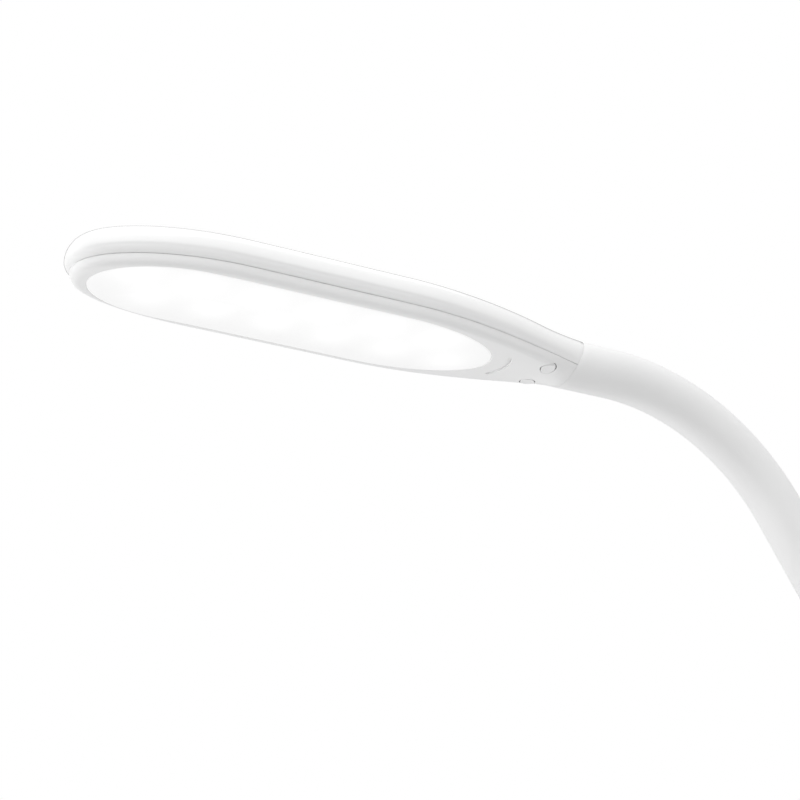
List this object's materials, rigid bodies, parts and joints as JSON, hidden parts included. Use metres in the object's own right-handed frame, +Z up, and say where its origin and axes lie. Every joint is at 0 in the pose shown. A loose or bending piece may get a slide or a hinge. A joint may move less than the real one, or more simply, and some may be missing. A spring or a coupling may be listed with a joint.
{
  "type": "clip-on reading lamp",
  "caption": "Clip-on reading lamp: a slim paddle-shaped light head with a lit diffuser and two push buttons on a flexible sleeved neck, held by a sprung clip.",
  "frame": {"origin": "centre of the upper jaw pad's gripping face, which rests on top of the board", "axes": "+Z up; the jaws open towards -X and the light head reaches out towards -X; Y is across the clip"},
  "size_m": [0.3797, 0.0516, 0.36],
  "materials": {
    "cover_white": "high gloss white ABS",
    "satin_white": "fine satin white ABS",
    "button_white": "satin white ABS",
    "silicone_white": "matt white silicone",
    "pad_grey": "soft grey rubber",
    "diffuser": "frosted acrylic, lit from behind",
    "reflector_white": "white reflective film",
    "board_aluminium": "aluminium core, white solder mask",
    "led_amber": "phosphor in a white package",
    "board_green": "green solder mask on glass epoxy",
    "switch_black": "black nylon",
    "lead_insulation": "insulated copper leads",
    "steel": "plain steel",
    "zinc_steel": "bright zinc plated steel",
    "jack_black": "black nylon",
    "contact_brass": "nickel flashed brass"
  },
  "bodies": {
    "clip": {"clip_housing": "satin_white", "base_plate": "satin_white", "plate_screws": "zinc_steel", "upper_pad": "pad_grey", "hinge_pin": "zinc_steel", "pin_ring": "steel", "torsion_spring": "steel", "neck_ferrule": "zinc_steel", "neck_nut": "zinc_steel", "power_jack": "jack_black", "jack_pin": "contact_brass", "neck_sleeve_0": "silicone_white", "neck_core_0": "steel", "neck_wires_0": "lead_insulation"},
    "lever": {"clip_lever": "satin_white", "lower_pad": "pad_grey"},
    "neck_1": {"neck_sleeve_1": "silicone_white", "neck_core_1": "steel", "neck_wires_1": "lead_insulation"},
    "neck_2": {"neck_sleeve_2": "silicone_white", "neck_core_2": "steel", "neck_wires_2": "lead_insulation"},
    "neck_3": {"neck_sleeve_3": "silicone_white", "neck_core_3": "steel", "neck_wires_3": "lead_insulation"},
    "neck_4": {"neck_sleeve_4": "silicone_white", "neck_core_4": "steel", "neck_wires_4": "lead_insulation"},
    "neck_5": {"neck_sleeve_5": "silicone_white", "neck_core_5": "steel", "neck_wires_5": "lead_insulation"},
    "neck_6": {"neck_sleeve_6": "silicone_white", "neck_core_6": "steel", "neck_wires_6": "lead_insulation"},
    "neck_7": {"neck_sleeve_7": "silicone_white", "neck_core_7": "steel", "neck_wires_7": "lead_insulation"},
    "head": {"head_cover": "cover_white", "head_bezel": "satin_white", "diffuser": "diffuser", "led_board": "board_aluminium", "reflector_sheet": "reflector_white", "led_packages": "led_amber", "board_screws": "zinc_steel", "control_board": "board_green", "control_screws": "zinc_steel", "tact_switches": "switch_black", "head_ferrule": "zinc_steel", "board_leads": "lead_insulation", "neck_sleeve_8": "silicone_white", "neck_core_8": "steel", "neck_wires_8": "lead_insulation"},
    "power_button": {"power_button": "button_white"},
    "dimmer_button": {"dimmer_button": "button_white"}
  },
  "joints": [
    {"name": "jaw_hinge", "type": "hinge", "parent": "clip", "child": "lever", "pos_m": [0.034, 0, -0.01], "axis": [0, -1, 0], "range_deg": [-22, 40], "stiffness_Nm_per_rad": 0.8, "springref_deg": -68.75, "deforming": ["torsion_spring"]},
    {"name": "neck_sway_0", "type": "hinge", "parent": "clip", "child": "neck_1", "pos_m": [0.02, 0, 0.057], "axis": [1, 0, 0], "range_deg": [-15, 15]},
    {"name": "neck_bend_1", "type": "hinge", "parent": "neck_1", "child": "neck_2", "pos_m": [0.02, 0, 0.101], "axis": [0, -1, 0], "range_deg": [-22.5, 22.5]},
    {"name": "neck_sway_2", "type": "hinge", "parent": "neck_2", "child": "neck_3", "pos_m": [0.02, 0, 0.145], "axis": [1, 0, 0], "range_deg": [-15, 15]},
    {"name": "neck_bend_3", "type": "hinge", "parent": "neck_3", "child": "neck_4", "pos_m": [0.01949, 0, 0.18898], "axis": [0, -1, 0], "range_deg": [-22.5, 22.5]},
    {"name": "neck_sway_4", "type": "hinge", "parent": "neck_4", "child": "neck_5", "pos_m": [0.0057, 0, 0.23039], "axis": [0.857, 0, 0.5153], "range_deg": [-15, 15]},
    {"name": "neck_bend_5", "type": "hinge", "parent": "neck_5", "child": "neck_6", "pos_m": [-0.01821, 0, 0.26733], "axis": [0, -1, 0], "range_deg": [-22.5, 22.5]},
    {"name": "neck_sway_6", "type": "hinge", "parent": "neck_6", "child": "neck_7", "pos_m": [-0.04872, 0, 0.29844], "axis": [0.5232, 0, 0.8522], "range_deg": [-15, 15]},
    {"name": "neck_bend_7", "type": "hinge", "parent": "neck_7", "child": "head", "pos_m": [-0.09029, 0, 0.31145], "axis": [0, -1, 0], "range_deg": [-22.5, 22.5]},
    {"name": "power_button_press", "type": "slide", "parent": "head", "child": "power_button", "axis": [0, 0, 1], "range_m": [0, 0.0004], "stiffness_N_per_m": 1500, "springref_m": -0.0004},
    {"name": "dimmer_button_press", "type": "slide", "parent": "head", "child": "dimmer_button", "axis": [0, 0, 1], "range_m": [0, 0.0004], "stiffness_N_per_m": 1500, "springref_m": -0.0004}
  ],
  "couplings": [
    {"joint": "neck_sway_2", "follows": "neck_sway_0", "ratio": 1},
    {"joint": "neck_bend_3", "follows": "neck_bend_1", "ratio": 1},
    {"joint": "neck_sway_4", "follows": "neck_sway_0", "ratio": 1},
    {"joint": "neck_bend_5", "follows": "neck_bend_1", "ratio": 1},
    {"joint": "neck_sway_6", "follows": "neck_sway_0", "ratio": 1},
    {"joint": "neck_bend_7", "follows": "neck_bend_1", "ratio": 1}
  ]
}
